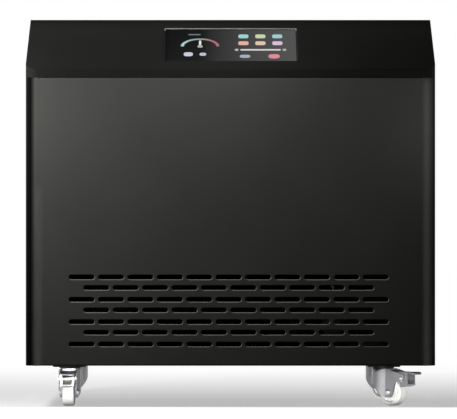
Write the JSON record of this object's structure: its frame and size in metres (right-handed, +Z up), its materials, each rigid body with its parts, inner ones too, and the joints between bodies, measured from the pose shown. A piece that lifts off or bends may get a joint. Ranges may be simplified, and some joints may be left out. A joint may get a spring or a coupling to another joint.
{
  "type": "water chiller",
  "caption": "Boxy water chiller in a sheet cabinet with a sloped control deck, slotted front panel and swivel casters.",
  "frame": {"origin": "on the floor, under the middle of the object's box", "axes": "+X to the right seen from the front, +Y to the back with the water fittings, +Z up"},
  "size_m": [0.56, 0.438, 0.5357],
  "materials": {
    "cabinet_paint": "dark grey powder coat",
    "hood_paint": "dark grey powder coat",
    "galvanised": "galvanised sheet",
    "bracket_paint": "satin",
    "black_plastic": "satin",
    "display_glass": "polished, dark behind",
    "display_module": "plain",
    "circuit_board": "solder resist",
    "compressor_paint": "gloss",
    "rubber": "matte",
    "copper": "bright copper",
    "fin_metal": "plain",
    "brass": "plain",
    "motor_metal": "cast",
    "fan_plastic": "satin",
    "barrel_plastic": "satin",
    "pump_paint": "satin",
    "screw_black": "blackened",
    "rocker_plastic": "gloss",
    "caster_steel": "zinc plated",
    "caster_pins": "bright zinc",
    "wheel_nylon": "moulded"
  },
  "bodies": {
    "cabinet": {"base_pan": "cabinet_paint", "front_panel": "cabinet_paint", "left_side_panel": "cabinet_paint", "right_side_panel": "cabinet_paint", "rear_panel": "cabinet_paint", "hood": "hood_paint", "corner_posts": "galvanised", "inner_shelf": "galvanised", "control_box": "galvanised", "motor_bracket": "bracket_paint", "exchanger_base": "bracket_paint", "pump_bracket": "bracket_paint", "fan_shroud": "bracket_paint", "display_bezel": "black_plastic", "cable_gland": "black_plastic", "switch_housing": "black_plastic", "display_glass": "display_glass", "display_module": "display_module", "display_board": "circuit_board", "compressor": "compressor_paint", "suction_accumulator": "compressor_paint", "compressor_grommets": "rubber", "inlet_hose": "rubber", "pump_hose": "rubber", "outlet_hose": "rubber", "condenser_tube": "copper", "discharge_line": "copper", "suction_line": "copper", "gas_lines": "copper", "liquid_lines": "copper", "filter_drier": "copper", "condenser_fins": "fin_metal", "reversing_valve": "brass", "water_inlet": "brass", "water_outlet": "brass", "port_nuts": "brass", "fan_motor": "motor_metal", "heat_exchanger": "barrel_plastic", "pump": "pump_paint", "panel_screws": "screw_black", "caster_plates": "caster_steel", "caster_bolts": "caster_pins"},
    "fan": {"fan": "fan_plastic"},
    "power_rocker": {"power_rocker": "rocker_plastic"},
    "front_left_swivel": {"front_left_fork": "caster_steel", "front_left_pins": "caster_pins"},
    "front_left_wheel": {"front_left_wheel": "wheel_nylon"},
    "front_left_pedal": {"front_left_pedal": "caster_steel"},
    "front_right_swivel": {"front_right_fork": "caster_steel", "front_right_pins": "caster_pins"},
    "front_right_wheel": {"front_right_wheel": "wheel_nylon"},
    "front_right_pedal": {"front_right_pedal": "caster_steel"},
    "rear_left_swivel": {"rear_left_fork": "caster_steel", "rear_left_pins": "caster_pins"},
    "rear_left_wheel": {"rear_left_wheel": "wheel_nylon"},
    "rear_right_swivel": {"rear_right_fork": "caster_steel", "rear_right_pins": "caster_pins"},
    "rear_right_wheel": {"rear_right_wheel": "wheel_nylon"}
  },
  "joints": [
    {"name": "fan_spin", "type": "hinge", "parent": "cabinet", "child": "fan", "pos_m": [-0.095, 0.14, 0.2372], "axis": [0, 1, 0], "continuous": true},
    {"name": "rocker_tilt", "type": "hinge", "parent": "cabinet", "child": "power_rocker", "pos_m": [0.1626, 0.179, 0.3398], "axis": [1, 0, 0], "range_deg": [-14, 0]},
    {"name": "front_left_swivel_turn", "type": "hinge", "parent": "cabinet", "child": "front_left_swivel", "pos_m": [-0.2217, -0.153, 0.05], "axis": [0, 0, 1], "continuous": true},
    {"name": "front_left_wheel_roll", "type": "hinge", "parent": "front_left_swivel", "child": "front_left_wheel", "pos_m": [-0.22229, -0.16999, 0.0185], "axis": [0.9994, -0.0349, 0], "continuous": true},
    {"name": "front_left_brake", "type": "hinge", "parent": "front_left_swivel", "child": "front_left_pedal", "pos_m": [-0.22311, -0.19348, 0.0385], "axis": [0.9994, -0.0349, 0], "range_deg": [0, 15]},
    {"name": "front_right_swivel_turn", "type": "hinge", "parent": "cabinet", "child": "front_right_swivel", "pos_m": [0.2113, -0.153, 0.05], "axis": [0, 0, 1], "continuous": true},
    {"name": "front_right_wheel_roll", "type": "hinge", "parent": "front_right_swivel", "child": "front_right_wheel", "pos_m": [0.22393, -0.16437, 0.0185], "axis": [0.6691, 0.7431, 0], "continuous": true},
    {"name": "front_right_brake", "type": "hinge", "parent": "front_right_swivel", "child": "front_right_pedal", "pos_m": [0.2414, -0.1801, 0.0385], "axis": [0.6691, 0.7431, 0], "range_deg": [0, 15]},
    {"name": "rear_left_swivel_turn", "type": "hinge", "parent": "cabinet", "child": "rear_left_swivel", "pos_m": [-0.2217, 0.115, 0.05], "axis": [0, 0, 1], "continuous": true},
    {"name": "rear_left_wheel_roll", "type": "hinge", "parent": "rear_left_swivel", "child": "rear_left_wheel", "pos_m": [-0.23121, 0.10091, 0.0185], "axis": [0.829, -0.5592, 0], "continuous": true},
    {"name": "rear_right_swivel_turn", "type": "hinge", "parent": "cabinet", "child": "rear_right_swivel", "pos_m": [0.2113, 0.115, 0.05], "axis": [0, 0, 1], "continuous": true},
    {"name": "rear_right_wheel_roll", "type": "hinge", "parent": "rear_right_swivel", "child": "rear_right_wheel", "pos_m": [0.21928, 0.09999, 0.0185], "axis": [0.8829, 0.4695, 0], "continuous": true}
  ]
}
